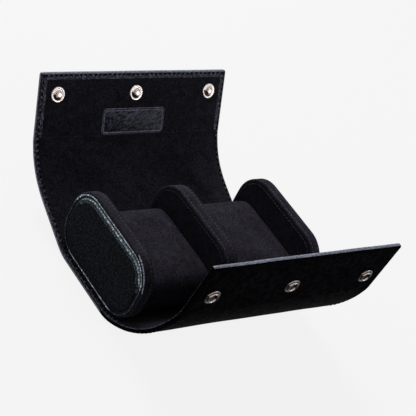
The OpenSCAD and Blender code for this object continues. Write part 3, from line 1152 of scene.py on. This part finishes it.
class CASE_OT_divider(bpy.types.Operator):
    """Builds the suede divider, with a sewn seam beside each of its edges"""
    bl_idname = "travel_case.divider"
    bl_label = "Divider"

    ROUNDING = 1.2 * MM
    STITCH_SHARE = 0.78

    def execute(self, context):
        sizes = context.scene.plate_sizes
        slab, rows = suede_slab("divider_suede_cover", "divider_suede", span("divider_suede", 0),
                                self.ROUNDING, sizes)
        sew_on(slab, rows, self.STITCH_SHARE, sizes, "divider_suede")
        return {"FINISHED"}


# ---- cushions ----

def stuff(piece, voxel, swell, sink):
    """Fills a closed cover by cloth simulation. swell caps how far each point may move, and sink how far
    inwards, because the foam holds the cover up."""
    only(piece)
    remesh = piece.modifiers.new("remesh", "REMESH")
    remesh.mode, remesh.voxel_size = "VOXEL", voxel
    bpy.ops.object.modifier_apply(modifier="remesh")
    flat = [v.co.copy() for v in piece.data.vertices]
    cloth = piece.modifiers.new("cover", "CLOTH")
    cloth.settings.use_pressure = True
    cloth.settings.uniform_pressure_force = 4
    cloth.settings.effector_weights.gravity = 0
    for number in range(1, 21):
        bpy.context.scene.frame_set(number)
    shown = piece.evaluated_get(bpy.context.evaluated_depsgraph_get()).data
    moved = [v.co.copy() for v in shown.vertices]
    piece.modifiers.remove(cloth)
    bpy.context.scene.frame_set(1)
    outwards = [v.normal.copy() for v in piece.data.vertices]
    for v, old, new, out in zip(piece.data.vertices, flat, moved, outwards):
        step = (new - old) * min(1, swell / max((new - old).length, TINY))
        sunk = min(step.dot(out) + sink, 0)
        v.co = old + step - out * sunk
    finer = piece.modifiers.new("finer", "SUBSURF")
    finer.levels = finer.render_levels = 1
    bpy.ops.object.modifier_apply(modifier="finer")


class CASE_OT_cushions(bpy.types.Operator):
    """Makes and stuffs the two lift-out cushions"""
    bl_idname = "travel_case.cushions"
    bl_label = "Cushions"

    RIM = 2.2 * MM
    # The cover starts smaller, by this share of its swell.
    SWELL_ROOM = 0.55
    SINK = 0.1 * MM
    # The foam stays this far inside the CAD's, so that the stuffed cover hides it.
    FOAM_ROOM = 1.2 * MM

    def execute(self, context):
        sizes = context.scene.cushion_sizes
        for side in ("left", "right"):
            body = f"{side}_cushion"
            room = sizes.swell * self.SWELL_ROOM
            cover = self.pad(f"{body}_cover", f"{body}_pad", room, sizes.corner)
            foam = self.pad(f"{body}_foam", f"{body}_block", self.FOAM_ROOM,
                            sizes.corner - 2 * self.FOAM_ROOM)
            dress(foam, "foam")
            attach(foam, body)
            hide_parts(f"{body}_foam")
            stuff(cover, sizes.voxel, sizes.swell, self.SINK)
            smooth(cover, math.radians(50))
            dress(cover, "suede")
            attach(cover, body)
            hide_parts(f"{body}_cover")
        return {"FINISHED"}

    def pad(self, node, name, room, corner):
        """A closed pad in a CAD node's box, drawn in on all sides by room."""
        low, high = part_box(node)
        piece = block(name, low + Vector((room,) * 3), high - Vector((room,) * 3))
        round_edges(piece, along(0), corner, 20)
        for x in (low.x + room, high.x - room):
            rim(piece, x, self.RIM)
        return piece


# ---- what sits on the panels ----

def onto_panel(piece, run):
    """Moves what was built flat, with the panel's start at the origin, onto its leaning panel."""
    only(piece)
    bpy.ops.object.mode_set(mode="EDIT")
    bpy.ops.mesh.select_all(action="SELECT")
    if run.sign < 0:
        bpy.ops.transform.mirror(constraint_axis=(False, True, False), center_override=(0, 0, 0))
        bpy.ops.mesh.normals_make_consistent(inside=False)
    turn(run.sign * run.lean, (0, 0, 0))
    bpy.ops.transform.translate(value=(0, run.sign * run.corner.x, run.corner.y))
    bpy.ops.object.mode_set(mode="OBJECT")


def in_ring(centre, low, high):
    """Whether a place lies between two radii round the Z axis."""
    return low < math.hypot(centre.x, centre.y) < high


def turned(name, profile, segments=48):
    """A turned piece: a disc drawn out ring by ring. profile holds the radius and height of each ring, in
    millimetres, from the rim in."""
    rings = [(radius * MM, height * MM) for radius, height in profile]
    radius, height = rings[0]
    bpy.ops.object.select_all(action="DESELECT")
    bpy.ops.mesh.primitive_circle_add(vertices=segments, radius=radius, location=(0, 0, height),
                                      fill_type="NGON")
    piece = bpy.context.object
    bpy.ops.object.transform_apply(location=True, rotation=False, scale=False)
    piece.name = name
    open_edit(piece, "FACE")
    for next_radius, next_height in rings[1:]:
        bpy.ops.mesh.extrude_region_move(TRANSFORM_OT_translate={"value": (0, 0, next_height - height)})
        share = next_radius / radius
        bpy.ops.transform.resize(value=(share, share, 1), center_override=(0, 0, next_height))
        radius, height = next_radius, next_height
    bpy.ops.mesh.select_all(action="SELECT")
    bpy.ops.mesh.region_to_loop()
    bpy.ops.mesh.edge_face_add()
    bpy.ops.mesh.select_all(action="SELECT")
    bpy.ops.mesh.normals_make_consistent(inside=False)
    close_edit()
    smooth(piece, math.radians(45))
    return piece


class CASE_OT_snaps(bpy.types.Operator):
    """Turns the three studs and the three sockets and sets them in their panels"""
    bl_idname = "travel_case.snaps"
    bl_label = "Snaps"

    WIDTH = 12 * MM
    # From a panel's free edge to the middles of its snaps.
    STUD_EDGE = 16.5 * MM
    SOCKET_EDGE = 30.5 * MM
    # A rolled flange, a dished ring and a knob with a waist under it.
    STUD = ((6.0, 0.05), (6.0, 0.3), (5.7, 0.62), (5.2, 0.75), (4.7, 0.66), (4.3, 0.5), (3.9, 0.55),
            (3.5, 0.7), (2.9, 0.85), (2.35, 1.1), (2.6, 1.4), (2.75, 1.75), (2.7, 2.1), (2.35, 2.42),
            (1.7, 2.62), (0.9, 2.68))
    # A rolled flange, a raised collar and a bore that the knob fits into.
    SOCKET = ((6.0, 0.0), (6.0, 0.45), (5.85, 0.7), (5.5, 0.85), (5.1, 0.75), (4.85, 0.6), (4.6, 0.7),
              (4.5, 1.5), (4.3, 1.85), (3.95, 2.0), (3.5, 1.9), (3.15, 1.55), (3.0, 0.6), (2.95, 0.06),
              (1.0, 0.05))

    def execute(self, context):
        stud = turned("stud", self.STUD)
        stud.data.materials.append(finish_of("nickel"))
        # Painted shade: a crescent round the foot of the knob, on one side only, gets the darker nickel.
        foot, waist, shade_offset = (2.2 * MM, 4.2 * MM), 1.5 * MM, 1.1 * MM
        finish_part(stud, "painted_shade_nickel", lambda c, n: in_ring(c, *foot) and c.z < waist
                    and c.x * 0.5 + c.y * 0.85 < -shade_offset)
        self.set_in(stud, RUNS["back"], self.STUD_EDGE, Matrix.Translation((0, 0, MIDDLE)),
                    "snap_studs", "stud_caps")
        socket = turned("socket", self.SOCKET)
        # Painted shade: the socket's body is the darker nickel.
        socket.data.materials.append(finish_of("painted_shade_nickel"))
        # Painted highlight: the faces that look towards the panel's free edge, from the bore to the rim,
        # get the bright nickel.
        bore_to_rim = (2.9 * MM, 6.1 * MM)
        finish_part(socket, "nickel", lambda c, n: n.y > 0.4 and in_ring(c, *bore_to_rim))
        outside = Matrix.Translation((0, 0, -MIDDLE)) @ Matrix.Rotation(math.pi, 4, "Y")
        self.set_in(socket, RUNS["front"], self.SOCKET_EDGE, outside, "snap_sockets", "socket_caps")
        return {"FINISHED"}

    def set_in(self, model, run, from_edge, onto_face, node, name):
        """Three copies along a panel. onto_face takes a snap from the panel's middle to its face."""
        low, high = span("snap_studs", 0)
        places = [Matrix.Translation((x, run.length - from_edge, 0)) @ onto_face
                  for x in (low + self.WIDTH / 2, (low + high) / 2, high - self.WIDTH / 2)]
        caps = copies(model, places, name)
        onto_panel(caps, run)
        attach(caps, f"{run.side}_panel")
        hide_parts(node)


class CASE_OT_patch(bpy.types.Operator):
    """Cuts the bare leather patch of the back panel, with its pressed border"""
    bl_idname = "travel_case.patch"
    bl_label = "Patch"

    # From the panel's free edge to the patch's upper edge, and the patch's height on the panel.
    FROM_EDGE = 28 * MM
    WIDTH = 20 * MM
    THICK = 0.9 * MM
    CORNER = 3.6 * MM
    # The border lies flat, then a groove is pressed into it: width and rise of each ring.
    BORDER = ((0.9 * MM, 0), (0.35 * MM, -0.3 * MM), (0.35 * MM, 0.25 * MM))

    def execute(self, context):
        run = RUNS["back"]
        low_x, high_x = span("leather_patch", 0)
        high_y, top = run.length - self.FROM_EDGE, MIDDLE + self.THICK
        patch = block("leather_patch_face", (low_x, high_y - self.WIDTH, MIDDLE - 0.2 * MM),
                      (high_x, high_y, top))
        round_edges(patch, along(2), self.CORNER, 8)
        round_edges(patch, lambda a, b: min(a.z, b.z) > top - TINY, self.THICK / 2, 4)
        draw_in(patch, lambda c, n: n.z > 0.99 and abs(c.z - top) < TINY, self.BORDER)
        smooth(patch, math.radians(50))
        dress(patch, "patch")
        # Painted highlight on the border's sloping faces.
        finish_part(patch, "painted_edge_highlight", lambda c, n: c.z > MIDDLE + 0.3 * MM and 0.05 < abs(n.z) < 0.97)
        onto_panel(patch, run)
        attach(patch, "back_panel")
        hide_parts("leather_patch")
        return {"FINISHED"}


class CASE_OT_inner_parts(bpy.types.Operator):
    """Gives the boards, cores and rivets inside the case their finishes"""
    bl_idname = "travel_case.inner_parts"
    bl_label = "Inner parts"

    # By the end of a node's name: its finish and its slot.
    FINISHES = {"core": ("fibreboard", "fibreboard"), "board": ("greyboard", "greyboard"),
                "rivets": ("nickel", "nickel_plate")}

    def execute(self, context):
        for name, node in frame["nodes"].items():
            for ending, (finish, slot) in self.FINISHES.items():
                if name.endswith(ending):
                    dress(node, finish)
        return {"FINISHED"}


# ---- stage ----

# The camera's place in metres, its heading, downward tilt and roll in degrees, and its lens and sensor
# in millimetres.
CAMERA_PLACE = (-0.73451, -0.58504, 0.68034)
CAMERA_HEADING = 51.1937
CAMERA_DOWN = 33.2616
CAMERA_ROLL = 29.1028
CAMERA_LENS = 135.60
SENSOR = 36.0


def shown_rays(owner):
    """1 for rays that show a surface to the camera, or in metal or glass, and 0 for the rest."""
    ray = add_node(owner, "ShaderNodeLightPath").outputs
    seen = add_node(owner, "ShaderNodeMath", {0: ray["Is Camera Ray"], 1: ray["Is Glossy Ray"]},
                    operation="MAXIMUM")
    return add_node(owner, "ShaderNodeMath", {0: seen.outputs[0], 1: ray["Is Transmission Ray"]},
                    operation="MAXIMUM").outputs[0]


def pale_surface(name, colour, lit_share):
    """A pale matt surface that the camera, metal and glass see near its own colour. lit_share is the
    share of it that the lamps light, which keeps a soft shadow on it."""
    material, shader, place = new_material(name)
    shade = linear(colour)
    grain = add_node(material, "ShaderNodeTexNoise",
                     {"Vector": place, "Scale": 1 / (3 * MM), "Detail": 4.0})
    tone = add_node(material, "ShaderNodeValToRGB", {"Fac": grain.outputs[0]},
                    ((0.0, scaled(shade, 0.99)), (1.0, shade)))
    set_sockets(material, shader, {
        "Base Color": tone.outputs[0], "Roughness": 0.9, "Specular IOR Level": 0.0})
    share = add_node(material, "ShaderNodeMath", {0: shown_rays(material), 1: 1 - lit_share},
                     operation="MULTIPLY")
    glow = add_node(material, "ShaderNodeEmission", {"Color": shade, "Strength": 1.0})
    mixed = add_node(material, "ShaderNodeMixShader",
                     {0: share.outputs[0], 1: shader.outputs[0], 2: glow.outputs[0]})
    output = next(n for n in material.node_tree.nodes if n.type == "OUTPUT_MATERIAL")
    set_sockets(material, output, {"Surface": mixed.outputs[0]})
    return material


class CASE_OT_stage(bpy.types.Operator):
    """Sets up the floor, the lights, the world and the camera"""
    bl_idname = "travel_case.stage"
    bl_label = "Stage"

    # Which way each lamp stands from the middle of the case, and how wide its disc is.
    KEY = ((0.07, 0.69, 0.72), 1.0)
    FILL = ((0.6, -0.74, 0.32), 0.35)
    LAMP_DISTANCE = 1.3
    LAMP_TARGET = Vector((0, 0, 0.04))
    WORLD_LIGHT = 0.12

    def execute(self, context):
        settings = context.scene.stage_settings
        self.floor(settings)
        self.lamp("key_light", *self.KEY, settings.key)
        self.lamp("fill_light", *self.FILL, settings.fill)
        self.world(settings)
        self.camera()
        context.scene.view_settings.view_transform = "Standard"
        return {"FINISHED"}

    def floor(self, settings):
        bpy.ops.object.select_all(action="DESELECT")
        bpy.ops.mesh.primitive_plane_add(size=8, location=(0, 0, -0.1 * MM))
        floor = bpy.context.object
        bpy.ops.object.transform_apply(location=True, rotation=False, scale=False)
        floor.name = "floor"
        floor.data.materials.append(pale_surface("matt_paper_sweep", settings.floor, 0.06))

    def lamp(self, name, way, width, power):
        light = bpy.data.lights.new(name, "AREA")
        light.shape = "DISK"
        light.size = width
        light.energy = power
        lamp = bpy.data.objects.new(name, light)
        bpy.context.scene.collection.objects.link(lamp)
        ray = Vector(way).normalized()
        lamp.location = self.LAMP_TARGET + ray * self.LAMP_DISTANCE
        lamp.rotation_euler = ray.to_track_quat("Z", "Y").to_euler()

    def world(self, settings):
        world = bpy.data.worlds.new("studio")
        bpy.context.scene.world = world
        world.use_nodes = True
        world.node_tree.nodes.clear()
        light = add_node(world, "ShaderNodeBackground",
                         {"Color": grey(1.0), "Strength": self.WORLD_LIGHT})
        shade = add_node(world, "ShaderNodeBackground",
                         {"Color": linear(settings.floor), "Strength": 1.0})
        mixed = add_node(world, "ShaderNodeMixShader",
                         {0: shown_rays(world), 1: light.outputs[0], 2: shade.outputs[0]})
        add_node(world, "ShaderNodeOutputWorld", {"Surface": mixed.outputs[0]})

    def camera(self):
        camera = bpy.data.objects.new("camera", bpy.data.cameras.new("camera"))
        bpy.context.scene.collection.objects.link(camera)
        camera.data.sensor_width = SENSOR
        camera.data.lens = CAMERA_LENS
        heading = Matrix.Rotation(-math.radians(CAMERA_HEADING), 4, "Z")
        level = Matrix.Rotation(math.pi / 2 - math.radians(CAMERA_DOWN), 4, "X")
        roll = Matrix.Rotation(math.radians(CAMERA_ROLL), 4, "Z")
        camera.matrix_world = Matrix.Translation(CAMERA_PLACE) @ heading @ level @ roll
        bpy.context.scene.camera = camera


class CASE_PT_panel(bpy.types.Panel):
    """Lists the steps that dress the case, and what can be changed in it"""
    bl_idname = "CASE_PT_panel"
    bl_label = "Travel Case"
    bl_space_type = "VIEW_3D"
    bl_region_type = "UI"
    bl_category = "Travel Case"

    def draw(self, context):
        layout = self.layout
        for step in STEPS:
            layout.operator(step.bl_idname)
        for group in GROUPS:
            values = getattr(context.scene, group)
            box = layout.box()
            for name in values.__annotations__:
                box.prop(values, name)


GROUPS = {"wrap_sizes": WrapSizes, "plate_sizes": PlateSizes, "cushion_sizes": CushionSizes,
          "case_colours": CaseColours, "stage_settings": StageSettings}
STEPS = (CASE_OT_wrap_leather, CASE_OT_wrap_lining, CASE_OT_end_plates, CASE_OT_divider, CASE_OT_cushions,
         CASE_OT_snaps, CASE_OT_patch, CASE_OT_inner_parts, CASE_OT_stage)


def register():
    for group in GROUPS.values():
        bpy.utils.register_class(group)
    for name, group in GROUPS.items():
        setattr(bpy.types.Scene, name, bpy.props.PointerProperty(type=group))
    for step in STEPS + (CASE_PT_panel,):
        bpy.utils.register_class(step)


def unregister():
    for step in (CASE_PT_panel,) + STEPS:
        bpy.utils.unregister_class(step)
    for name, group in GROUPS.items():
        delattr(bpy.types.Scene, name)
        bpy.utils.unregister_class(group)


def main():
    register()
    bpy.ops.travel_case.wrap_leather()
    bpy.ops.travel_case.wrap_lining()
    bpy.ops.travel_case.end_plates()
    bpy.ops.travel_case.divider()
    bpy.ops.travel_case.cushions()
    bpy.ops.travel_case.snaps()
    bpy.ops.travel_case.patch()
    bpy.ops.travel_case.inner_parts()
    bpy.ops.travel_case.stage()


if __name__ == "__main__":
    main()
